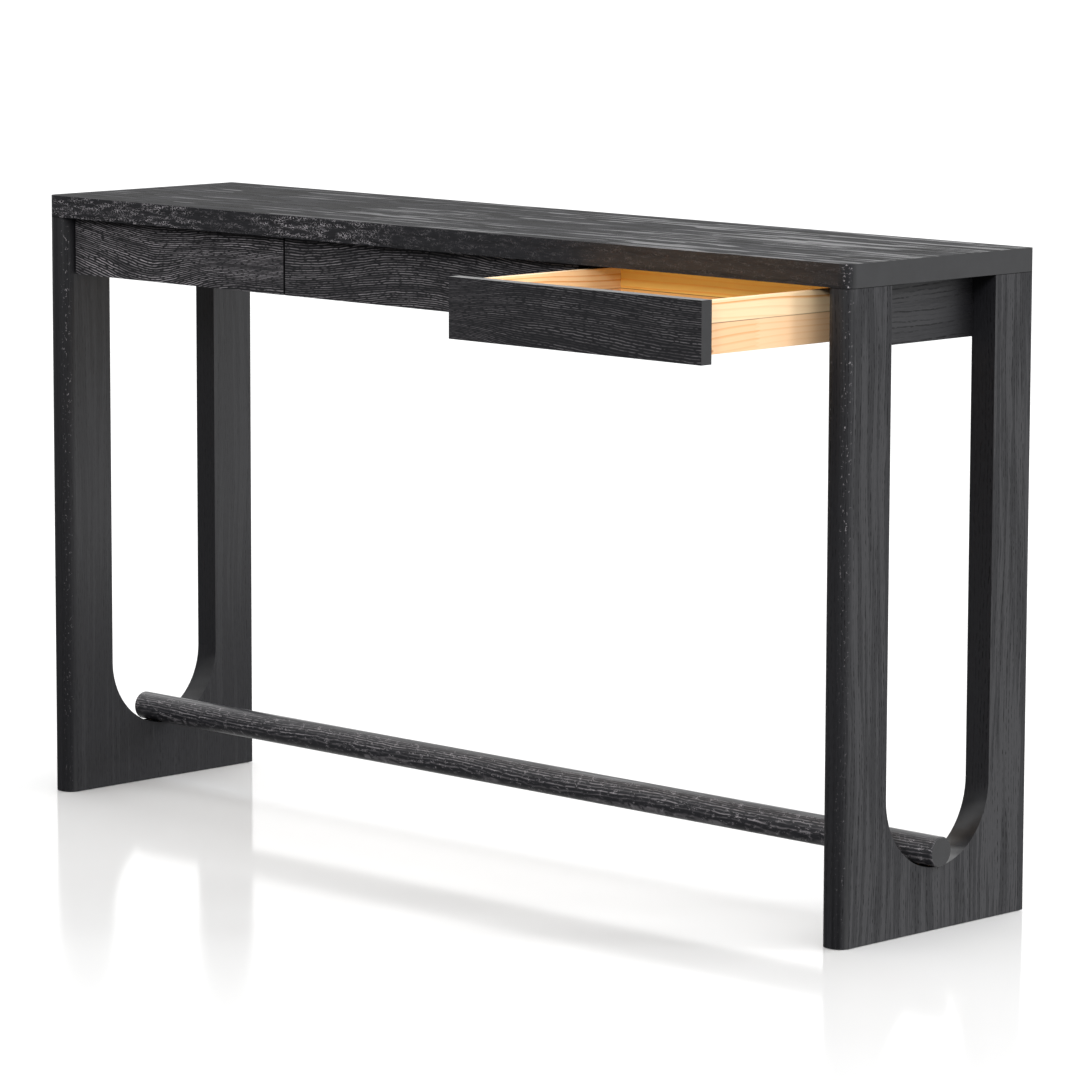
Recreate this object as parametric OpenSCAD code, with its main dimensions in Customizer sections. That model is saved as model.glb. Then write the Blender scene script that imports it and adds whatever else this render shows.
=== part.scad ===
// Console table: a thick top on two U-shaped end panels, a round stretcher bar
// lying in the bottoms of the two U openings, and three drawers under the top.
// X runs along the table, the drawers open towards -Y, and Z = 0 is the floor.
// The right-hand drawer is stored pulled out, the other two closed.

/* [Table] */
// Length of the top, over the end panels
table_w = 1500; // [1300:10:1700]
// Depth of the top and of the end panels
table_d = 350; // [340:5:420]
// Height of the top surface above the floor
table_h = 850; // [780:5:900]
// Thickness of the top
top_t = 30; // [26:1:36]

/* [End panels] */
// Thickness of an end panel
panel_t = 38; // [34:1:44]
// Rounding of the upright front corners of the panels and the top
corner_r = 16; // [6:1:16]
// Width of a panel's front leg
front_leg_w = 82; // [78:1:90]
// Width of a panel's back leg
back_leg_w = 71; // [70:1:90]
// Height of the lowest point of the U opening above the floor
foot_h = 81; // [60:1:110]

/* [Stretcher bar] */
// Diameter of the bar
bar_d = 39; // [28:1:40]
// How far the bar stands out of each end panel
bar_proud = 7; // [2:1:15]
// Chamfer around each end of the bar
bar_chamfer = 1.5; // [0.5:0.5:3]

/* [Drawer case] */
// Height of the side aprons, back rail and partitions
case_h = 80; // [78:1:100]
// Thickness of a side apron
apron_t = 16; // [15:1:18]
// Thickness of the back rail
rail_t = 18; // [16:1:20]
// How far the back rail stands in from the back of the table
rail_inset = 6; // [5:1:6]
// Thickness of a partition between two drawers
partition_t = 28; // [26:1:32]
// Distance between the centres of the two partitions
partition_pitch = 556; // [480:2:640]
// Thickness of the runner strips that the drawers slide on
runner_t = 9; // [8:1:10]
// Width of the runner strips
runner_w = 20; // [18:1:22]

/* [Drawers] */
// Thickness of a drawer front
front_t = 18; // [16:1:20]
// How far the closed fronts stand behind the front of the table
front_recess = 18; // [16:1:20]
// Gap between a drawer front and the top
front_top_gap = 2; // [1.5:0.5:3]
// Gap between two drawer fronts
front_gap = 3.5; // [2:0.5:5]
// Gap between an outer drawer front and the end panel
front_end_gap = 2; // [0.5:0.5:3]
// Depth of a drawer box behind its front
box_depth = 275; // [240:5:275]
// Height of a drawer box
box_h = 65; // [60:1:65]
// Thickness of the boards of a drawer box
box_t = 12; // [11:1:14]
// Thickness of a drawer bottom
bottom_t = 5; // [4:1:6]
// How far the right-hand drawer is pulled out
drawer_open = 235; // [0:5:240]

/* [Hidden] */
$fn = 64;

// Colours
black_oak = [0.14, 0.14, 0.15];
pine = [0.93, 0.80, 0.58];
plywood = [0.90, 0.78, 0.58];
beech = [0.82, 0.66, 0.45];
steel = "silver";
brass = [0.80, 0.65, 0.30];
nylon = [0.20, 0.20, 0.20];

// Directions that repeated pieces are laid out along
ALONG_X = [0, 90, 0];
ALONG_Y = [-90, 0, 0];
SIDES = [-1, 1];

// The whole object, open drawer included, is centred on X and Y
back_y = (table_d - front_recess + drawer_open) / 2;
front_y = back_y - table_d;

// Heights
glide_proud = 1;
case_top = table_h - top_t;
case_z = case_top - case_h;

// End panels
inner_x = table_w / 2 - panel_t;
panel_mid_x = table_w / 2 - panel_t / 2;
opening_w = table_d - front_leg_w - back_leg_w;
opening_r = opening_w / 2;
opening_y = front_y + front_leg_w + opening_r;

// Stretcher bar
bar_r = bar_d / 2;
bar_z = foot_h + bar_r;

// Drawer case
seat_gap = 0.5;
case_front_y = front_y + front_recess + front_t + seat_gap;
rail_y = back_y - rail_inset - rail_t;
rail_mid_y = rail_y + rail_t / 2;
apron_in_x = inner_x - apron_t;
apron_mid_x = inner_x - apron_t / 2;
partition_x = partition_pitch / 2;

// Drawers: one bay per drawer, as [centre of the front, its width, centre of the box, its width, shift in Y]
side_play = 3;
slide_gap = 0.3;
front_z = case_z;
front_h = case_h - front_top_gap;
box_z = case_z + runner_t + slide_gap;
outer_front_x0 = partition_x + front_gap / 2;
outer_front_x1 = inner_x - front_end_gap;
outer_box_x0 = partition_x + partition_t / 2 + side_play;
outer_box_x1 = apron_in_x - side_play;
function outer_bay(side, pulled) = [
    side * (outer_front_x0 + outer_front_x1) / 2, outer_front_x1 - outer_front_x0,
    side * (outer_box_x0 + outer_box_x1) / 2, outer_box_x1 - outer_box_x0, -pulled
];
LEFT = outer_bay(-1, 0);
MIDDLE = [0, partition_pitch - front_gap, 0, partition_pitch - partition_t - 2 * side_play, 0];
RIGHT = outer_bay(1, drawer_open);

// Box front and back, and the groove that holds the bottom
box_front_y = front_y + front_recess + front_t;
bottom_z = box_z + 8;
groove = 6;
groove_play = 0.1;

// Wooden dowels, each given as [radius, length, depth in the first piece]
fit = 0.1;
big_dowel = [5, 48, 28];
small_dowel = [4, 32, 18];
box_dowel = [3, 22, 15];

// Machine bolts through the aprons and the threaded inserts in the panels
bolt_r = 3;
bolt_len = 28;
bolt_head_r = 6;
bolt_head_h = 3.4;
head_seat = 4;
insert_r = 5;
insert_len = 20;

// Wood screws of the runners and of the drawer fronts
runner_screw_r = 1.75;
runner_screw_len = 30;
runner_head_r = 3.5;
runner_head_h = 2.2;
front_screw_r = 2;
front_screw_len = 24;
front_head_r = 4;
front_head_h = 2;

// Places along the depth of the table
panel_dowel_y = [front_y + 24, front_y + 70, back_y - 62, back_y - 16];
apron_dowel_y = [front_y + 110, front_y + 180, front_y + 250];
bolt_y = [front_y + 48, back_y - 48];
bolt_z = [case_z + 26, case_z + 60];
partition_dowel_y = [case_front_y + 40, case_front_y + 200];
runner_front_y = case_front_y + 14;
runner_screw_y = [runner_front_y + 20, runner_front_y + 130, runner_front_y + 240];

// Places along the length of the table and up its height
rail_dowel_x = [-640, -450, -150, 150, 450, 640];
rail_end_z = [case_z + 18, case_z + 40];
partition_end_z = [case_z + 20, case_z + 55];
stretcher_dowel_x = [inner_x + 10, inner_x + 28];
runner_screw_z = case_z + runner_t / 2;
box_dowel_z = [box_z + 22, box_z + 50];
front_screw_z = [box_z + 26, box_z + 50];

// Floor glides
glide_r = 11;
glide_t = 3;
glide_y = [front_y + 30, back_y - 30];

// ---------- shared shapes ----------

// Upright block whose two front corners are rounded
module rounded_front_block(w, d, h, r) {
    linear_extrude(h) {
        translate([-w / 2, r]) square([w, d - r]);
        translate([-w / 2 + r, 0]) square([w - 2 * r, d]);
        for (s = SIDES) translate([s * (w / 2 - r), r]) circle(r);
    }
}

// Board given by its lowest corner and its size
module board(corner, size) {
    translate(corner) cube(size);
}

// Dowel centred on a joint: it reaches `first` below the joint and the rest above it
module dowel(spec) {
    r = spec[0];
    ease = 1;
    translate([0, 0, -spec[2]]) {
        cylinder(h = ease, r1 = r - ease, r2 = r);
        translate([0, 0, ease]) cylinder(h = spec[1] - 2 * ease, r = r);
        translate([0, 0, spec[1] - ease]) cylinder(h = ease, r1 = r, r2 = r - ease);
    }
}

// The hole for that dowel, a little larger all round
module dowel_hole(spec) {
    end_play = 1;
    translate([0, 0, -spec[2] - end_play]) cylinder(h = spec[1] + 2 * end_play, r = spec[0] + fit);
}

module countersunk_screw(r, len, head_r, head_h) {
    cylinder(h = head_h, r1 = head_r, r2 = r);
    translate([0, 0, head_h]) cylinder(h = len - head_h, r = r);
}

module pan_screw(r, len, head_r, head_h) {
    difference() {
        translate([0, 0, -head_h]) cylinder(h = head_h, r = head_r);
        for (a = [0, 90]) rotate(a) translate([-head_r * 0.6, -0.4, -head_h - 1]) cube([head_r * 1.2, 0.8, 2]);
    }
    cylinder(h = len, r = r);
}

// ---------- layouts shared by fixings and their holes ----------

module at_panel_dowels() {
    for (s = SIDES, y = panel_dowel_y) translate([s * panel_mid_x, y, case_top]) children();
}

module at_top_dowels() {
    for (s = SIDES, y = apron_dowel_y) translate([s * apron_mid_x, y, case_top]) children();
    for (s = SIDES, y = partition_dowel_y) translate([s * partition_x, y, case_top]) children();
    for (x = rail_dowel_x) translate([x, rail_mid_y, case_top]) children();
}

module at_rail_dowels() {
    for (s = SIDES, z = rail_end_z) translate([s * inner_x, rail_mid_y, z]) rotate(s * ALONG_X) children();
}

module at_partition_dowels() {
    for (s = SIDES, z = partition_end_z) translate([s * partition_x, rail_y, z]) rotate(ALONG_Y) children();
}

module at_stretcher_dowels() {
    for (s = SIDES, x = stretcher_dowel_x) translate([s * x, opening_y, foot_h]) children();
}

module at_apron_bolts() {
    for (s = SIDES, y = bolt_y, z = bolt_z)
        translate([s * (apron_in_x + head_seat), y, z]) rotate(s * ALONG_X) children();
}

module at_glides() {
    for (s = SIDES, y = glide_y) translate([s * panel_mid_x, y, 0]) children();
}

// Six runner strips: each is beside an apron or a partition face at x, and lies towards `side`
runner_places = [
    [-apron_in_x, 1], [-partition_x - partition_t / 2, -1], [-partition_x + partition_t / 2, 1],
    [partition_x - partition_t / 2, -1], [partition_x + partition_t / 2, 1], [apron_in_x, -1]
];

module at_runner_screws() {
    for (p = runner_places, y = runner_screw_y)
        translate([p[0] + p[1] * runner_w, y, runner_screw_z]) rotate(-p[1] * ALONG_X) children();
}

// ---------- frame ----------

module top_panel() {
    color(black_oak) difference() {
        translate([0, front_y, case_top]) rounded_front_block(table_w, table_d, top_t, corner_r);
        at_panel_dowels() dowel_hole(big_dowel);
        at_top_dowels() dowel_hole(small_dowel);
    }
}

// End panel: the U opening has a half-round bottom and runs up to the top
module end_panel(side) {
    color(black_oak) difference() {
        translate([side * panel_mid_x, front_y, glide_proud])
            rounded_front_block(panel_t, table_d, case_top - glide_proud, corner_r);
        translate([side * panel_mid_x - panel_t, 0, 0]) rotate([90, 0, 90]) linear_extrude(2 * panel_t) {
            translate([opening_y, foot_h + opening_r]) circle(opening_r, $fn = 128);
            translate([opening_y - opening_r, foot_h + opening_r]) square([opening_w, table_h]);
        }
        at_panel_dowels() dowel_hole(big_dowel);
        at_rail_dowels() dowel_hole(small_dowel);
        at_stretcher_dowels() dowel_hole(small_dowel);
        at_apron_bolts() translate([0, 0, apron_t - head_seat])
            cylinder(h = insert_len + 1, r = insert_r + fit);
        at_glides() cylinder(h = glide_t + 0.2, r = glide_r + fit);
    }
}

module left_end_panel() {
    end_panel(-1);
}

module right_end_panel() {
    end_panel(1);
}

module stretcher_bar() {
    half = table_w / 2 + bar_proud;
    color(black_oak) difference() {
        translate([0, opening_y, bar_z]) rotate(ALONG_X) {
            translate([0, 0, -half + bar_chamfer]) cylinder(h = 2 * (half - bar_chamfer), r = bar_r);
            for (s = [0, 180]) rotate([s, 0, 0]) translate([0, 0, half - bar_chamfer])
                cylinder(h = bar_chamfer, r1 = bar_r, r2 = bar_r - bar_chamfer);
        }
        at_stretcher_dowels() dowel_hole(small_dowel);
    }
}

module apron(side) {
    x0 = side > 0 ? apron_in_x : -inner_x;
    color(black_oak) difference() {
        board([x0, case_front_y, case_z], [apron_t, rail_y - case_front_y, case_h]);
        at_top_dowels() dowel_hole(small_dowel);
        at_apron_bolts() {
            translate([0, 0, -head_seat - 1]) cylinder(h = head_seat + 1, r = bolt_head_r + 1);
            cylinder(h = apron_t, r = bolt_r + 0.3);
        }
        at_runner_screws() cylinder(h = runner_screw_len + 1, r = runner_screw_r + fit);
    }
}

module left_apron() {
    apron(-1);
}

module right_apron() {
    apron(1);
}

module back_rail() {
    color(black_oak) difference() {
        board([-inner_x, rail_y, case_z], [2 * inner_x, rail_t, case_h]);
        at_top_dowels() dowel_hole(small_dowel);
        at_rail_dowels() dowel_hole(small_dowel);
        at_partition_dowels() dowel_hole(small_dowel);
    }
}

module partition(side) {
    color(black_oak) difference() {
        board([side * partition_x - partition_t / 2, case_front_y, case_z],
              [partition_t, rail_y - case_front_y, case_h]);
        at_top_dowels() dowel_hole(small_dowel);
        at_partition_dowels() dowel_hole(small_dowel);
        at_runner_screws() cylinder(h = runner_screw_len + 1, r = runner_screw_r + fit);
    }
}

module left_partition() {
    partition(-1);
}

module right_partition() {
    partition(1);
}

module drawer_runners() {
    color(pine) difference() {
        for (p = runner_places)
            board([p[1] > 0 ? p[0] : p[0] - runner_w, runner_front_y, case_z],
                  [runner_w, rail_y - runner_front_y, runner_t]);
        at_runner_screws() {
            cylinder(h = runner_w + 1, r = runner_screw_r + fit);
            translate([0, 0, -0.2]) cylinder(h = runner_head_h + 0.2, r1 = runner_head_r + 0.3, r2 = runner_screw_r);
        }
    }
}

module runner_screws() {
    color(steel) at_runner_screws()
        countersunk_screw(runner_screw_r, runner_screw_len, runner_head_r, runner_head_h);
}

// Blocks on the back rail that the closed drawer boxes stop against
module drawer_stops() {
    stop_w = 30;
    stop_h = 20;
    stop_t = rail_y - (box_front_y + box_depth) - slide_gap;
    color(pine) for (bay = [LEFT, MIDDLE, RIGHT], s = SIDES)
        board([bay[2] + s * (bay[3] / 2 - 60) - stop_w / 2, rail_y - stop_t, box_z + box_h - stop_h],
              [stop_w, stop_t, stop_h]);
}

// ---------- fixings ----------

module panel_dowels() {
    color(beech) at_panel_dowels() dowel(big_dowel);
}

module top_dowels() {
    color(beech) at_top_dowels() dowel(small_dowel);
}

module rail_dowels() {
    color(beech) at_rail_dowels() dowel(small_dowel);
}

module partition_dowels() {
    color(beech) at_partition_dowels() dowel(small_dowel);
}

module stretcher_dowels() {
    color(beech) at_stretcher_dowels() dowel(small_dowel);
}

module apron_bolts() {
    socket_r = 2.3;
    color(steel) at_apron_bolts() difference() {
        union() {
            translate([0, 0, -bolt_head_h]) cylinder(h = bolt_head_h, r = bolt_head_r);
            cylinder(h = bolt_len, r = bolt_r);
        }
        translate([0, 0, -bolt_head_h - 1]) cylinder(h = 3.2, r = socket_r, $fn = 6);
    }
}

module apron_inserts() {
    color(brass) at_apron_bolts() translate([0, 0, apron_t - head_seat]) difference() {
        cylinder(h = insert_len, r = insert_r);
        translate([0, 0, -1]) cylinder(h = insert_len + 2, r = bolt_r + fit);
    }
}

module floor_glides() {
    color(nylon) at_glides() {
        cylinder(h = glide_proud, r1 = glide_r - glide_proud, r2 = glide_r);
        translate([0, 0, glide_proud]) cylinder(h = glide_t - glide_proud, r = glide_r);
    }
}

// ---------- drawers ----------

// Screws from inside the box front into the drawer front
module at_front_screws(bay) {
    for (s = SIDES, z = front_screw_z)
        translate([bay[2] + s * (bay[3] / 2 - 55), box_front_y + box_t + bay[4], z])
            rotate([90, 0, 0]) children();
}

module at_box_dowels(bay) {
    for (s = SIDES, y = [box_t / 2, box_depth - box_t / 2], z = box_dowel_z)
        translate([bay[2] + s * (bay[3] / 2 - box_t), box_front_y + y + bay[4], z])
            rotate(s * ALONG_X) children();
}

// Space that the bottom and its grooves take up
module bottom_slab(bay, play) {
    w = bay[3] - 2 * box_t + 2 * groove;
    d = box_depth - 2 * box_t + 2 * groove;
    board([bay[2] - w / 2 - play, box_front_y + box_t - groove + bay[4] - play, bottom_z - play],
          [w + 2 * play, d + 2 * play, bottom_t + 2 * play]);
}

module drawer_front(bay) {
    color(black_oak) difference() {
        board([bay[0] - bay[1] / 2, front_y + front_recess + bay[4], front_z], [bay[1], front_t, front_h]);
        at_front_screws(bay) cylinder(h = front_screw_len + 1, r = front_screw_r + fit);
    }
}

module drawer_side(bay, side) {
    color(pine) difference() {
        board([bay[2] + side * (bay[3] / 2 - box_t / 2) - box_t / 2, box_front_y + bay[4], box_z],
              [box_t, box_depth, box_h]);
        bottom_slab(bay, groove_play);
        at_box_dowels(bay) dowel_hole(box_dowel);
    }
}

module drawer_cross_board(bay, y) {
    w = bay[3] - 2 * box_t;
    color(pine) difference() {
        board([bay[2] - w / 2, box_front_y + y + bay[4], box_z], [w, box_t, box_h]);
        bottom_slab(bay, groove_play);
        at_box_dowels(bay) dowel_hole(box_dowel);
        at_front_screws(bay) cylinder(h = box_t, r = front_screw_r + fit);
    }
}

module drawer_box_front(bay) {
    drawer_cross_board(bay, 0);
}

module drawer_back(bay) {
    drawer_cross_board(bay, box_depth - box_t);
}

module drawer_bottom(bay) {
    color(plywood) bottom_slab(bay, 0);
}

module drawer_screws(bay) {
    color(steel) at_front_screws(bay)
        pan_screw(front_screw_r, front_screw_len, front_head_r, front_head_h);
}

module drawer_dowels(bay) {
    color(beech) at_box_dowels(bay) dowel(box_dowel);
}

top_panel();
left_end_panel();
right_end_panel();
stretcher_bar();
left_apron();
right_apron();
back_rail();
left_partition();
right_partition();
drawer_runners();
runner_screws();
drawer_stops();
panel_dowels();
top_dowels();
rail_dowels();
partition_dowels();
stretcher_dowels();
apron_bolts();
apron_inserts();
floor_glides();

drawer_front(LEFT);  // left_drawer_front
drawer_side(LEFT, -1);  // left_drawer_left_side
drawer_side(LEFT, 1);  // left_drawer_right_side
drawer_box_front(LEFT);  // left_drawer_box_front
drawer_back(LEFT);  // left_drawer_back
drawer_bottom(LEFT);  // left_drawer_bottom
drawer_screws(LEFT);  // left_drawer_screws
drawer_dowels(LEFT);  // left_drawer_dowels

drawer_front(MIDDLE);  // middle_drawer_front
drawer_side(MIDDLE, -1);  // middle_drawer_left_side
drawer_side(MIDDLE, 1);  // middle_drawer_right_side
drawer_box_front(MIDDLE);  // middle_drawer_box_front
drawer_back(MIDDLE);  // middle_drawer_back
drawer_bottom(MIDDLE);  // middle_drawer_bottom
drawer_screws(MIDDLE);  // middle_drawer_screws
drawer_dowels(MIDDLE);  // middle_drawer_dowels

drawer_front(RIGHT);  // right_drawer_front
drawer_side(RIGHT, -1);  // right_drawer_left_side
drawer_side(RIGHT, 1);  // right_drawer_right_side
drawer_box_front(RIGHT);  // right_drawer_box_front
drawer_back(RIGHT);  // right_drawer_back
drawer_bottom(RIGHT);  // right_drawer_bottom
drawer_screws(RIGHT);  // right_drawer_screws
drawer_dowels(RIGHT);  // right_drawer_dowels
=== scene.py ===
"""The looks of a black oak console table with pine drawers, on a studio floor in soft light."""

import math

import bpy
from mathutils import Matrix, Vector


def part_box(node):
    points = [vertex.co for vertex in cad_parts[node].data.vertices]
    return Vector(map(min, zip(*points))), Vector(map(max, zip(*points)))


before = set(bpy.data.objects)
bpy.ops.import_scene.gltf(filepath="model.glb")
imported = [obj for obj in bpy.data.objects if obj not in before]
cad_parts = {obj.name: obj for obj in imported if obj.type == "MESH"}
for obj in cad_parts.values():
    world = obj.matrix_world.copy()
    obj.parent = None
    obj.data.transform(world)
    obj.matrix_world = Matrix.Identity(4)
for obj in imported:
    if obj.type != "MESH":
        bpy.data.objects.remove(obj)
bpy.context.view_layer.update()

MM = 0.001
SIDES = ("left", "middle", "right")


# ---- Shader arithmetic -------------------------------------------------------------------------

class Signal:
    """A shader value that takes part in arithmetic, so that a pattern reads as a formula."""

    def __init__(self, graph, socket):
        self.graph = graph
        self.socket = socket

    def __add__(self, other):
        return self.graph.math("ADD", self, other)

    def __sub__(self, other):
        return self.graph.math("SUBTRACT", self, other)

    def __rsub__(self, other):
        return self.graph.math("SUBTRACT", other, self)

    def __mul__(self, other):
        return self.graph.math("MULTIPLY", self, other)

    def __truediv__(self, other):
        return self.graph.math("DIVIDE", self, other)

    __radd__ = __add__
    __rmul__ = __mul__


class Graph:
    """A node tree, with one short method for each kind of node that the patterns use."""

    def __init__(self, tree):
        self.tree = tree

    def node(self, kind, inputs, **settings):
        made = self.tree.nodes.new(kind)
        for name, value in settings.items():
            setattr(made, name, value)
        for key, value in inputs.items():
            if isinstance(value, Signal):
                self.tree.links.new(value.socket, made.inputs[key])
            else:
                made.inputs[key].default_value = value
        return made

    def math(self, operation, *values):
        made = self.node("ShaderNodeMath", dict(enumerate(values)), operation=operation)
        return Signal(self, made.outputs[0])

    def split(self, vector):
        made = self.node("ShaderNodeSeparateXYZ", {0: vector})
        return [Signal(self, socket) for socket in made.outputs]

    def join(self, x, y, z):
        return Signal(self, self.node("ShaderNodeCombineXYZ", {0: x, 1: y, 2: z}).outputs[0])

    def coordinates(self, name):
        return Signal(self, self.node("ShaderNodeTexCoord", {}).outputs[name])

    def noise(self, x, y, z, detail=2.0, roughness=0.5):
        """Smooth noise from 0 to 1, one lump for each unit of x, y and z."""
        inputs = {"Vector": self.join(x, y, z), "Scale": 1.0, "Detail": detail, "Roughness": roughness}
        return Signal(self, self.node("ShaderNodeTexNoise", inputs).outputs["Fac"])

    def random(self, x, y):
        """A steady random value from 0 to 1 for each pair of whole numbers."""
        inputs = {"Vector": self.join(x, y, 0.0)}
        return Signal(self, self.node("ShaderNodeTexWhiteNoise", inputs).outputs["Value"])

    def step(self, value, low, high, start=0.0, end=1.0):
        """Goes smoothly from start to end as value goes from low to high."""
        inputs = {"Value": value, "From Min": low, "From Max": high, "To Min": start, "To Max": end}
        made = self.node("ShaderNodeMapRange", inputs, interpolation_type="SMOOTHSTEP")
        return Signal(self, made.outputs["Result"])

    def near(self, value, centre, full, none, peak=1.0):
        """The peak where value is within full of the centre, falling to 0 where it is none away."""
        return self.step(self.math("ABSOLUTE", value - centre), full, none, peak, 0.0)

    def mix(self, factor, first, second):
        """Blends two colours."""
        made = self.node("ShaderNodeMix", {0: factor, 6: first, 7: second}, data_type="RGBA")
        return Signal(self, made.outputs[2])

    def bump(self, height, distance, strength=1.0):
        inputs = {"Height": height, "Distance": distance, "Strength": strength}
        return Signal(self, self.node("ShaderNodeBump", inputs).outputs["Normal"])


def tone(red, green, blue):
    """A display colour, 0 to 255, as the linear one that shaders take."""
    def linear(level):
        share = level / 255
        return share / 12.92 if share <= 0.04045 else ((share + 0.055) / 1.055) ** 2.4
    return (linear(red), linear(green), linear(blue), 1.0)


def new_material(name):
    """A material, its graph and its surface shader."""
    material = bpy.data.materials.new(name)
    material.use_nodes = True
    material.node_tree.nodes.clear()
    graph = Graph(material.node_tree)
    shader = graph.node("ShaderNodeBsdfPrincipled", {})
    graph.node("ShaderNodeOutputMaterial", {"Surface": Signal(graph, shader.outputs[0])})
    return material, graph, shader


def finish_shader(graph, shader, **values):
    """Sets the surface shader's inputs, given by name with _ for a space."""
    for name, value in values.items():
        socket = shader.inputs[name.replace("_", " ")]
        if isinstance(value, Signal):
            graph.tree.links.new(value.socket, socket)
        else:
            socket.default_value = value


def board_axes(graph, grain):
    """The coordinates along the grain, across the main face and through the board, for axes like "XYZ"."""
    place = dict(zip("XYZ", graph.split(graph.coordinates("Object"))))
    return [place[axis] for axis in grain]


def facing(graph, way, low, high):
    """1 where the surface faces that way and 0 elsewhere.

    way: "X" for both ways along X, "-Y" for towards -Y only.
    low, high: cosines of the angle to that way, from 0 at the first to 1 at the second.
    """
    normal = graph.split(graph.coordinates("Normal"))["XYZ".index(way[-1])]
    turned = normal * -1.0 if way[0] == "-" else graph.math("ABSOLUTE", normal)
    return graph.step(turned, low, high)


# ---- Black oak ---------------------------------------------------------------------------------

OAK_DARK = tone(13, 13, 16)
OAK_PALE = tone(41, 41, 45)
OAK_EDGE = tone(31, 32, 35)
# Painted highlight: the pale of pores and flecks on faces towards -Y, for the front light caught in them
PAINTED_GLINT = tone(232, 226, 231)
PORE_BLACK = tone(7, 7, 8)

# How many lumps of a pattern there are in a metre, along the grain and across it
OAK_WANDER = (3, 12)
OAK_WOBBLE = (40, 90)
OAK_CLUMPS = (16, 70)
OAK_FIBRES = (60, 700)
OAK_CHECKS = (8, 60)
OAK_WORMS = (240, 400)
# The same in one direction, for the patterns whose other measure is set for each board
PORES_ACROSS = 500
BANDS_ALONG = 3
# The same in every direction
MOTTLE = 50

# How much the rings move on through the board, for each unit that they move across it
SLOPE = 0.8
WOBBLE = 3 * MM
FIBRE_RELIEF = 0.06 * MM
PORE_RELIEF = 0.2 * MM


def oak_depth(graph, along, across, through, seed, swirl):
    """How far into the tree each place lies, so that growth rings are equal steps of it."""
    length, width = OAK_WANDER
    wander = graph.noise(along * length + seed, across * width, through * width, detail=1.0) - 0.5
    length, width = OAK_WOBBLE
    wobble = graph.noise(along * length, across * width + seed, through * width, detail=1.0) - 0.5
    return across + through * SLOPE + wander * (2 * swirl) + wobble * WOBBLE


def oak_pores(graph, along, depth, seed, pitch, dash, gaps):
    """Lines of open pores, one in the early wood of each growth ring."""
    ring = depth / pitch
    number = graph.math("FLOOR", ring)
    phase = ring - number
    early_wood = graph.step(phase, 0.0, 0.2) * graph.step(phase, 0.25, 0.5, 1.0, 0.0)
    strength = graph.random(number, seed) * 0.7 + 0.3
    dashes = graph.noise(along / dash, depth * PORES_ACROSS, seed, detail=1.0)
    dashes = graph.step(dashes, gaps, gaps + 0.20)
    length, width = OAK_CLUMPS
    clumps = graph.noise(along * length, depth * width, seed + 5.0, detail=1.0)
    clumps = graph.step(clumps, 0.35, 0.62, 0.45, 1.0)
    return early_wood * strength * dashes * clumps


def oak_checks(graph, along, depth, seed, lack):
    """Short dark checks, more of them where the sheen is lacking."""
    length, width = OAK_CHECKS
    lumps = graph.noise(along * length, depth * width, seed + 13.0, detail=2.0)
    return graph.step(lumps + lack * 0.2, 0.56, 0.60)


def oak_worms(graph, along, across, through, seed):
    """Thin curling lines, for the shape of a painted glint."""
    length, width = OAK_WORMS
    lumps = graph.noise(along * length, across * width, through * width + seed, detail=1.0)
    return graph.near(lumps, 0.5, 0.0, 0.05)


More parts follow.
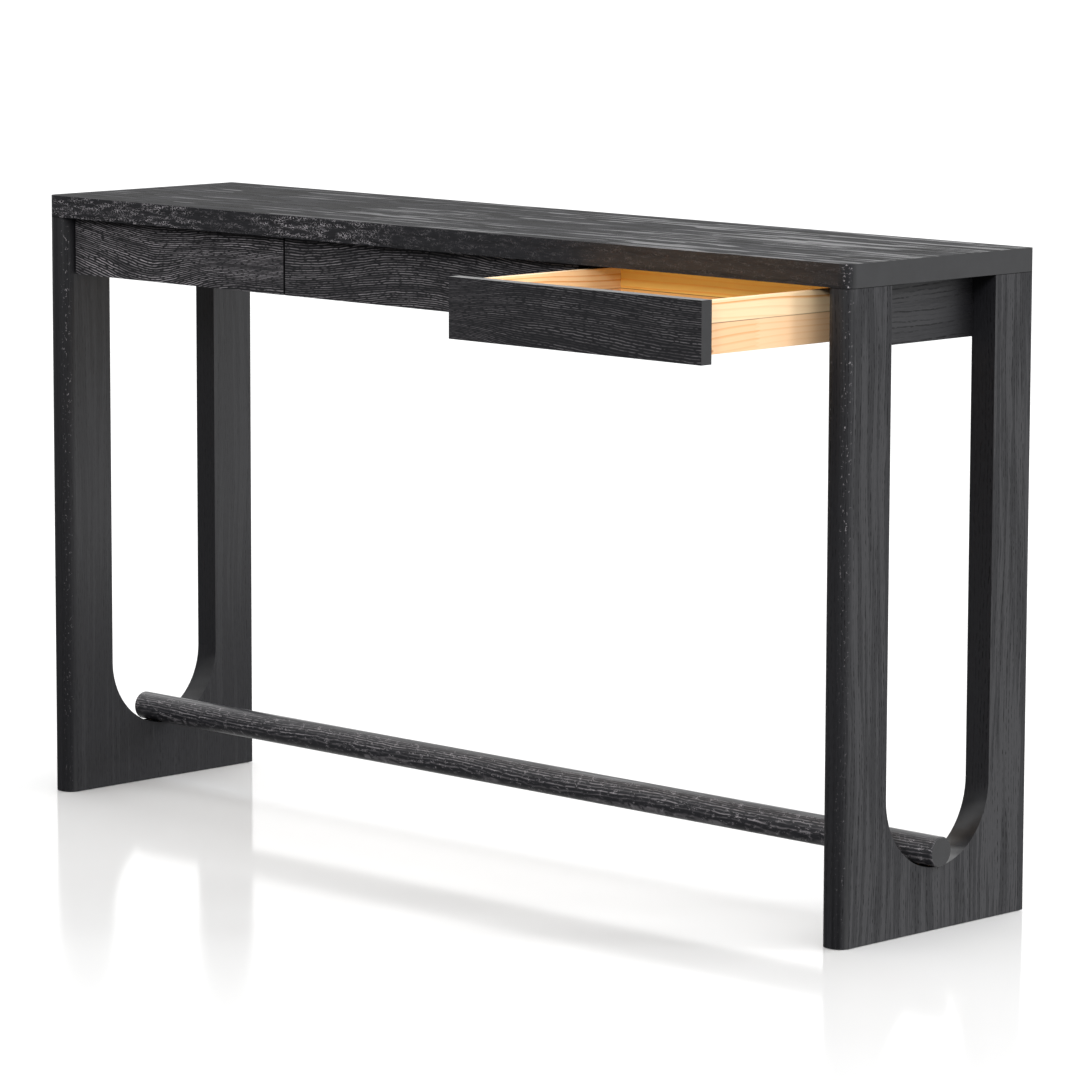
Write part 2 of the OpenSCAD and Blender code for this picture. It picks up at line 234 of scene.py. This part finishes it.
def black_oak(name, grain, seed, pitch=6 * MM, swirl=12 * MM, dash=20 * MM, gaps=0.33, lines=0.7, pale=0.0,
              deep=0.0, streaks=0.4, band=11 * MM, relief=0.2 * MM, slits=0.0, gloss=0.40, dull=None,
              smooth_axes="", smooth_from=0.80, drift=None, flecks=None, seam=None):
    """Open-grain oak under a black stain.

    grain: the axes along the grain, across the main face and through the board, such as "XYZ".
    seed: a number that shifts the patterns, so that no two boards look alike.
    pitch, swirl: width of a growth ring, and how far the rings wander.
    dash, gaps: length of a pore, and how broken up the lines of pores are.
    lines, pale: how much of the pores shows, and how pale they look on faces towards -Y, a painted highlight
    for the front light caught in their edges; elsewhere they are black.
    deep: how much blacker the stain is, or greyer below 0.
    streaks, band, relief: how much broad bands vary, and how wide and how deep they are.
    slits: how strong the short dark checks are.
    gloss: roughness where the board is smoothest.
    dull: function of (graph, along) for how much less sheen there is.
    smooth_axes, smooth_from: axes whose faces are edge-banded, and how squarely they have to face along them.
    drift: function of (graph, along, across) that bends the rings.
    flecks: function of (graph, along, through, squarely) for the amount of pale flecks painted on faces
    towards
    -Y as glints of the front light, where squarely is 1 if they face exactly that way.
    seam: place along the grain of a tight joint, seen as a dark line.
    """
    material, graph, shader = new_material(name)
    along, across, through = board_axes(graph, grain)
    # Faces towards -Y, where pores and flecks are painted pale as glints of the front light
    front = facing(graph, "-Y", 0.25, 0.60)
    streaks = (1.0 - facing(graph, "Y", 0.25, 0.60)) * streaks
    lack = dull(graph, along) if dull else 0.0
    open_grain = 1.0
    for axis in smooth_axes:
        open_grain = open_grain * (1.0 - facing(graph, axis, smooth_from, smooth_from + 0.15))

    depth = oak_depth(graph, along, across, through, seed, swirl)
    if drift is not None:
        depth = depth + drift(graph, along, across)
    pores = oak_pores(graph, along, depth, seed, pitch, dash, gaps) * lines * open_grain
    length, width = OAK_FIBRES
    fibres = graph.noise(along * length, depth * width, seed + 3.0, detail=3.0, roughness=0.7)
    bands = graph.noise(along * BANDS_ALONG, depth / band, seed + 7.0, detail=4.0, roughness=0.6)
    bands = graph.step(bands + lack * 0.15, 0.45, 0.54) * streaks

    stain = bands * 0.5 + fibres * (1.0 - streaks * 0.5)
    colour = graph.mix(deep + stain * (1.0 - deep), OAK_PALE, OAK_DARK)
    # Painted highlight: the pores are pale on faces towards -Y, for the front light caught in their edges,
    # and black elsewhere
    colour = graph.mix(pores, colour, graph.mix(front * pale, PORE_BLACK, PAINTED_GLINT))
    if smooth_axes:
        mottle = graph.noise(along * MOTTLE, across * MOTTLE, through * MOTTLE, detail=3.0)
        colour = graph.mix(open_grain, graph.mix(mottle, OAK_EDGE, OAK_DARK), colour)
    rough = fibres * 0.18 + (gloss * 0.4 + front * 0.20 + pores * 0.45 + bands * 0.50) * open_grain
    rough = rough + gloss * 0.6 + lack * 0.45
    height = (fibres * FIBRE_RELIEF - pores * PORE_RELIEF - bands * relief) * open_grain
    if slits:
        checks = oak_checks(graph, along, depth, seed, lack) * (1.0 - front) * open_grain * slits
        colour = graph.mix(checks, colour, PORE_BLACK)
        rough = rough + checks * 0.5
        height = height - checks * relief
    # Painted highlights: pale glints of the front light, only on faces towards -Y
    if flecks is not None:
        squarely = facing(graph, "-Y", 0.90, 0.98)
        amount = flecks(graph, along, through, squarely) * front * open_grain
        colour = graph.mix(oak_worms(graph, along, across, through, seed) * amount, colour, PAINTED_GLINT)
    if seam is not None:
        line = graph.near(along, seam, 0.5 * MM, 1.1 * MM)
        colour = graph.mix(line, colour, PORE_BLACK)
        rough = rough + line * 0.6
    finish_shader(
        graph, shader, Base_Color=colour,
        Roughness=graph.math("MINIMUM", rough, 1.0),
        Normal=graph.bump(height, 1.0),
    )
    return material


# ---- Features that have their own place on a board ---------------------------------------------
# The places along and across are the table's own coordinates, in metres.

def left_front_drift(graph, along, across):
    """Rings that fall to a valley at a third of the length, with an arch at the bottom right."""
    bottom = graph.step(across, 0.745, 0.800, 1.0, 0.0)
    valley = graph.step(along, -0.80, -0.53, 0.0, 0.040) - graph.step(along, -0.55, -0.40, 0.0, 0.008)
    return valley - graph.step(along, -0.56, -0.36, 0.0, 0.030) * bottom


def middle_front_drift(graph, along, across):
    """Rings in a long, low arch."""
    rise = graph.step(along, -0.28, 0.02, 0.0, -0.020)
    fall = graph.step(along, 0.02, 0.26, 0.0, 0.012)
    return rise + fall


def right_front_drift(graph, along, across):
    """Nearly level rings, closing up towards the left end."""
    middle_height = 0.779
    closing = graph.step(along, 0.27, 0.42, 1.0, 0.0)
    return closing * (across - middle_height) * 0.7 + graph.step(along, 0.40, 0.70, 0.0, 0.010)


def top_dull(graph, along):
    """The top has less sheen towards its ends, most of all the left one."""
    left = graph.step(along, -0.6, 0.6, 0.34, 0.0)
    right = graph.step(along, 0.50, 0.72, 0.0, 0.05)
    return left + right


def foot_dull(graph, along):
    """The foot of a panel has less sheen."""
    return graph.step(along, 0.05, 0.45, 0.60, 0.0)


def top_glints(graph, along, through, squarely):
    """Painted glints of the front light along the front edge of the top, thick near the left end and a third
    of the way along, with small ones on its rounded edge.
    """
    left = graph.near(along, -0.60, 0.12, 0.20, 0.7)
    third = graph.near(along, -0.19, 0.06, 0.16, 0.9)
    thin = graph.step(along, -0.30, 0.50, 0.35, 0.10)
    patchy = graph.step(graph.noise(along * 40, through * 180, 5.0, detail=2.0), 0.40, 0.64)
    sparkle = graph.step(graph.noise(along * 300, through * 300, 8.0), 0.55, 0.62) * 0.6
    return (left + third + thin) * 0.55 * patchy * squarely + sparkle * (1.0 - squarely)


def corner_glints(graph, along, through, squarely):
    """Small glints, only where a corner is rounded."""
    glints = graph.step(graph.noise(along * 190, through * 400, 9.0), 0.58, 0.66)
    return glints * graph.step(along, 0.2, 0.85, 0.2, 0.5) * (1.0 - squarely)


def bar_glints(graph, along, through, squarely):
    """Short pale flecks scattered all over, painted glints of the front light; black_oak shows them only on
    faces towards -Y.
    """
    return graph.step(graph.noise(along * 90, through * 200, 9.0), 0.50, 0.66) * 0.40


# ---- Light woods -------------------------------------------------------------------------------

# Early wood and late wood; the second pair is painted shade, a deeper amber for the drawer backs that stands
# for the shaded inside of a box
PINE = (tone(248, 221, 180), tone(214, 148, 80))
PINE_PAINTED_SHADE = (tone(255, 226, 134), tone(246, 168, 68))
# Light and dark figure
PLYWOOD = (tone(247, 214, 155), tone(232, 180, 105))
BEECH = (tone(220, 185, 145), tone(190, 145, 100))

# How many lumps of a pattern there are in a metre, along the grain and across it
PINE_WANDER = (3, 14)
PINE_FIBRES = (40, 1300)
PINE_CLOUDS = (6, 30)
PINE_KNOTS = (26, 60)
PLAIN_FIGURE = (4, 30)
PLAIN_FIBRES = (60, 1500)

PINE_RING = 6.5 * MM
PINE_SWIRL = 30 * MM
FINGER = 2.5 * MM


def pine(name, grain, seed, cream, amber, seam=None, joint=None):
    """Clear-lacquered pine, with amber late wood in cream early wood.

    seam: where two glued boards meet, across the grain.
    joint: where the lower board is finger-jointed, along the grain.
    """
    material, graph, shader = new_material(name)
    along, across, through = board_axes(graph, grain)
    lower = 0.0
    if seam is not None:
        lower = graph.step(across, seam - 0.1 * MM, seam + 0.1 * MM, 1.0, 0.0)
    length, width = PINE_WANDER
    wander = graph.noise(along * length + seed, across * width + lower * 5.0, through * width, detail=1.0)
    depth = across * 0.8 + through + (wander - 0.5) * PINE_SWIRL
    ring = depth / PINE_RING
    phase = graph.math("FRACT", ring)
    strength = graph.random(graph.math("FLOOR", ring), seed) * 0.8 + 0.2
    late_wood = graph.step(phase, 0.55, 0.9) * graph.step(phase, 0.93, 1.0, 1.0, 0.0) * strength
    length, width = PINE_FIBRES
    fibres = graph.noise(along * length, depth * width, seed, detail=2.0)
    length, width = PINE_CLOUDS
    cloud = graph.noise(along * length, across * width, seed + 5.0, detail=2.0)
    stain = late_wood * 0.85 + fibres * 0.16 + cloud * 0.20
    colour = graph.mix(stain, cream, amber)
    if seam is not None:
        colour = graph.mix(lower * 0.55, colour, tone(230, 174, 124))
        line = graph.near(across, seam, 0.2 * MM, 0.9 * MM)
        colour = graph.mix(line * 0.75, colour, tone(96, 56, 30))
    if joint is not None:
        zigzag = graph.math("PINGPONG", across, FINGER) * 4.0
        beyond = graph.step(along - joint, zigzag - 0.3 * MM, zigzag + 0.3 * MM) * lower
        colour = graph.mix(beyond * 0.4, colour, tone(243, 206, 164))
        length, width = PINE_KNOTS
        knots = graph.noise(along * length, across * width, seed + 9.0, detail=0.0)
        knots = graph.step(knots, 0.74, 0.80) * lower
        colour = graph.mix(knots * 0.8, colour, tone(150, 84, 40))
    height = fibres * 0.6 - late_wood * 0.4
    finish_shader(
        graph, shader, Base_Color=colour,
        Roughness=0.36 + fibres * 0.14,
        Normal=graph.bump(height, 0.08 * MM, 0.6),
    )
    return material


def plain_wood(name, grain, seed, light, dark):
    """Straight-grained wood for plywood faces and dowels."""
    material, graph, shader = new_material(name)
    along, across, through = board_axes(graph, grain)
    length, width = PLAIN_FIGURE
    figure = graph.noise(along * length + seed, across * width, through * width, detail=3.0)
    length, width = PLAIN_FIBRES
    fibres = graph.noise(along * length, across * width, through * width, detail=2.0)
    colour = graph.mix(figure * 0.6 + fibres * 0.4, light, dark)
    finish_shader(
        graph, shader, Base_Color=colour,
        Roughness=0.45 + fibres * 0.2,
        Normal=graph.bump(fibres, 0.05 * MM, 0.5),
    )
    return material


# ---- Metal and plastic -------------------------------------------------------------------------

# The two tones of the surface, and for metal its roughness
ZINC = (tone(190, 190, 192), tone(150, 148, 145), 0.3)
BRASS = (tone(205, 170, 95), tone(160, 125, 65), 0.28)
NYLON = (tone(52, 52, 54), tone(70, 70, 72))

def metal(name, colour, worn, roughness):
    """Zinc-plated or brass hardware, with a fine turned finish."""
    material, graph, shader = new_material(name)
    x, y, z = graph.split(graph.coordinates("Object"))
    patches = graph.noise(x * 300, y * 300, z * 300, detail=3.0)
    scratches = graph.noise(x * 4000, y * 4000, z * 900, detail=1.0)
    finish_shader(
        graph, shader, Metallic=1.0, Base_Color=graph.mix(patches, colour, worn),
        Roughness=roughness + scratches * 0.15,
        Normal=graph.bump(scratches, 0.02 * MM, 0.4),
    )
    return material


def moulded(name, colour, worn):
    """Moulded plastic with a fine texture."""
    material, graph, shader = new_material(name)
    x, y, z = graph.split(graph.coordinates("Object"))
    grains = graph.noise(x * 2500, y * 2500, z * 2500, detail=2.0)
    scuffs = graph.noise(x * 120, y * 120, z * 120, detail=3.0)
    finish_shader(
        graph, shader, Base_Color=graph.mix(scuffs, colour, worn),
        Roughness=0.4 + grains * 0.25,
        Normal=graph.bump(grains, 0.05 * MM, 0.5),
    )
    return material


# ---- Finishes and softened edges on the CAD pieces ---------------------------------------------

def dress(node, material):
    """Gives every material slot of a CAD node this material."""
    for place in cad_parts[node].material_slots:
        place.material = material


def soften(node, width, segments=2):
    """Joins the split vertices, clears flat triangulation and rounds the sharp edges."""
    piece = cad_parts[node]
    weld = piece.modifiers.new("weld", "WELD")
    weld.merge_threshold = 0.01 * MM
    flat = piece.modifiers.new("flat", "DECIMATE")
    flat.decimate_type = "DISSOLVE"
    flat.angle_limit = math.radians(0.5)
    bevel = piece.modifiers.new("edges", "BEVEL")
    bevel.width = width
    bevel.segments = segments
    bevel.limit_method = "ANGLE"
    bevel.angle_limit = math.radians(40)
    bevel.harden_normals = True


PANEL_LOOKS = {
    # The left panel's deeper stain (deep) is painted shade, for its inner face lying in the shade under the
    # top
    "left": {"seed": 11.0, "lines": 0.40, "streaks": 0.15, "deep": 0.3, "dull": foot_dull},
    "right": {"seed": 17.0, "lines": 1.0, "streaks": 0.45},
}
FRONT_LOOKS = {
    "left": {"seed": 31.0, "drift": left_front_drift, "lines": 0.70},
    "middle": {"seed": 37.0, "drift": middle_front_drift, "lines": 0.48},
    "right": {"seed": 41.0, "drift": right_front_drift, "lines": 0.22},
}
BOX_GRAIN = {"left_side": "YZX", "right_side": "YZX", "box_front": "XZY", "back": "XZY"}
# Where the glued boards of a drawer box meet: the share of the height that the lower one takes
SEAM_SHARE = 0.58
# How far the finger joint is from the front end of a drawer side
JOINT_PLACE = 0.095

joint_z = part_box("top_panel")[0].z
dress("top_panel", black_oak(
    "oak_top", "XYZ", 1.0, pitch=14 * MM, swirl=8 * MM, dash=50 * MM, streaks=1.0, band=15 * MM,
    relief=1.2 * MM, slits=1.0, gloss=0.36, dull=top_dull, smooth_axes="X", flecks=top_glints))
for side, look in PANEL_LOOKS.items():
    dress(f"{side}_end_panel", black_oak(
        f"oak_{side}_panel", "ZYX", pitch=4.5 * MM, dash=9 * MM, gaps=0.42, smooth_axes="Z",
        smooth_from=0.15, flecks=corner_glints, seam=joint_z, **look))
    dress(f"{side}_apron", black_oak(
        f"oak_{side}_apron", "YZX", look["seed"] + 2, dash=9 * MM, lines=1.0, streaks=0.2, gloss=0.36))
    dress(f"{side}_partition", black_oak(f"oak_{side}_partition", "YZX", look["seed"] + 4))
dress("back_rail", black_oak("oak_rail", "XZY", 23.0))
dress("stretcher_bar", black_oak(
    "oak_bar", "XYZ", 29.0, pitch=4 * MM, dash=9 * MM, lines=0.45, pale=0.8, deep=-0.6, gloss=0.22,
    smooth_axes="X", flecks=bar_glints))
for side, look in FRONT_LOOKS.items():
    seed = look["seed"]
    dress(f"{side}_drawer_front", black_oak(
        f"oak_{side}_front", "XZY", pitch=3.1 * MM, dash=8 * MM, pale=1.0, deep=0.3, streaks=0.2,
        smooth_axes="XZ", **look))
    for part, grain in BOX_GRAIN.items():
        low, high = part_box(f"{side}_drawer_{part}")
        seam = low.z + SEAM_SHARE * (high.z - low.z)
        joint = low.y + JOINT_PLACE if part.endswith("side") else None
        # The backs take the second pair: painted shade, for the deeper amber of the shaded inside of the box
        cream, amber = PINE_PAINTED_SHADE if part == "back" else PINE
        dress(f"{side}_drawer_{part}", pine(f"pine_{side}_{part}", grain, seed, cream, amber, seam, joint))
    dress(f"{side}_drawer_bottom", plain_wood(f"plywood_{side}", "XYZ", seed, *PLYWOOD))
    dress(f"{side}_drawer_screws", metal(f"zinc_{side}", *ZINC))
    dress(f"{side}_drawer_dowels", plain_wood(f"beech_{side}", "XYZ", seed, *BEECH))
zinc = metal("zinc", *ZINC)
brass = metal("brass", *BRASS)
beech = plain_wood("beech", "ZXY", 51.0, *BEECH)
runner_pine = pine("pine_runners", "YXZ", 61.0, *PINE)
for node in ("panel_dowels", "top_dowels", "rail_dowels", "partition_dowels", "stretcher_dowels"):
    dress(node, beech)
for node in ("runner_screws", "apron_bolts"):
    dress(node, zinc)
dress("apron_inserts", brass)
for node in ("drawer_runners", "drawer_stops"):
    dress(node, runner_pine)
dress("floor_glides", moulded("nylon", *NYLON))

OAK_BOARDS = ["left_end_panel", "right_end_panel", "left_apron", "right_apron", "back_rail",
              "left_partition", "right_partition", "stretcher_bar"]
OAK_BOARDS += [f"{side}_drawer_front" for side in SIDES]
soften("top_panel", 1.3 * MM, 3)
for node in OAK_BOARDS:
    soften(node, 0.9 * MM)
for side in SIDES:
    for part in ("left_side", "right_side", "box_front", "back", "bottom"):
        soften(f"{side}_drawer_{part}", 0.5 * MM)


# ---- Studio ------------------------------------------------------------------------------------

def build_floor():
    """A wide pale floor, more polished near the table than towards the camera."""
    half = 60.0
    near_camera, near_table = -1.8, -0.1
    mesh = bpy.data.meshes.new("floor")
    corners = [(-half, -half, 0), (half, -half, 0), (half, half, 0), (-half, half, 0)]
    mesh.from_pydata(corners, [], [(0, 1, 2, 3)])
    floor = bpy.data.objects.new("floor", mesh)
    bpy.context.scene.collection.objects.link(floor)
    material, graph, shader = new_material("floor_paint")
    x, y, _ = graph.split(graph.coordinates("Object"))
    cloud = graph.noise(x * 3, y * 3, 0.0, detail=3.0)
    finish_shader(
        graph, shader, Base_Color=graph.mix(cloud, tone(218, 218, 218), tone(221, 221, 221)),
        Roughness=graph.step(y, near_camera, near_table, 0.34, 0.07) + cloud * 0.03,
        IOR=1.22,
    )
    mesh.materials.append(material)
    floor.visible_glossy = False
    floor.visible_diffuse = False


def add_lamp(name, shines_from, strength, softness):
    """A large distant lamp that lights the surfaces but leaves no highlight on them.

    softness: its width as seen from the table, in degrees.
    """
    lamp = bpy.data.lights.new(name, "SUN")
    lamp.energy = strength
    lamp.angle = math.radians(softness)
    placed = bpy.data.objects.new(name, lamp)
    bpy.context.scene.collection.objects.link(placed)
    placed.rotation_mode = "QUATERNION"
    placed.rotation_quaternion = Vector(shines_from).to_track_quat("Z", "Y")
    placed.visible_glossy = False


def build_light():
    """A surround that is bright behind and overhead and dark in front, with two lamps.

    The camera sees it evenly white.
    """
    world = bpy.data.worlds.new("studio")
    bpy.context.scene.world = world
    world.use_nodes = True
    world.node_tree.nodes.clear()
    graph = Graph(world.node_tree)
    x, y, z = graph.split(graph.coordinates("Generated"))
    behind = graph.step(y + x * 0.25, -0.35, 0.55, 0.11, 1.15)
    overhead = graph.step(z, 0.12, 0.60, 0.0, 1.2)
    level = behind + overhead
    seen = Signal(graph, graph.node("ShaderNodeLightPath", {}).outputs["Is Camera Ray"])
    strength = level + seen * (1.0 - level)
    back = graph.node("ShaderNodeBackground", {"Color": (1, 1, 1, 1), "Strength": strength})
    graph.node("ShaderNodeOutputWorld", {"Surface": Signal(graph, back.outputs[0])})
    add_lamp("right", (1.0, 0.80, 0.40), 1.05, 12)
    add_lamp("front", (0.40, -0.80, 0.35), 1.15, 12)


def build_camera():
    """A long lens at the right-hand front corner, a little above the top."""
    azimuth, elevation, roll = (math.radians(angle) for angle in (44.66, 8.09, 0.168))
    distance = 7.229
    off_middle = Vector((0.0276, 0.0262, -0.0056))
    low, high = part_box("top_panel")
    aim = Vector(((low.x + high.x) / 2, (low.y + high.y) / 2, high.z / 2)) + off_middle
    back = Vector((math.sin(azimuth) * math.cos(elevation), -math.cos(azimuth) * math.cos(elevation),
                   math.sin(elevation)))
    right = Vector((math.cos(azimuth), math.sin(azimuth), 0))
    up = back.cross(right)
    turned_right = right * math.cos(roll) + up * math.sin(roll)
    turned_up = up * math.cos(roll) - right * math.sin(roll)
    lens = bpy.data.cameras.new("camera")
    lens.lens = 179.49
    lens.clip_end = 200
    camera = bpy.data.objects.new("camera", lens)
    bpy.context.scene.collection.objects.link(camera)
    turn = Matrix((turned_right, turned_up, back)).transposed()
    camera.matrix_world = Matrix.Translation(aim + back * distance) @ turn.to_4x4()
    bpy.context.scene.camera = camera


build_floor()
build_light()
build_camera()
bpy.context.scene.view_settings.view_transform = "Standard"
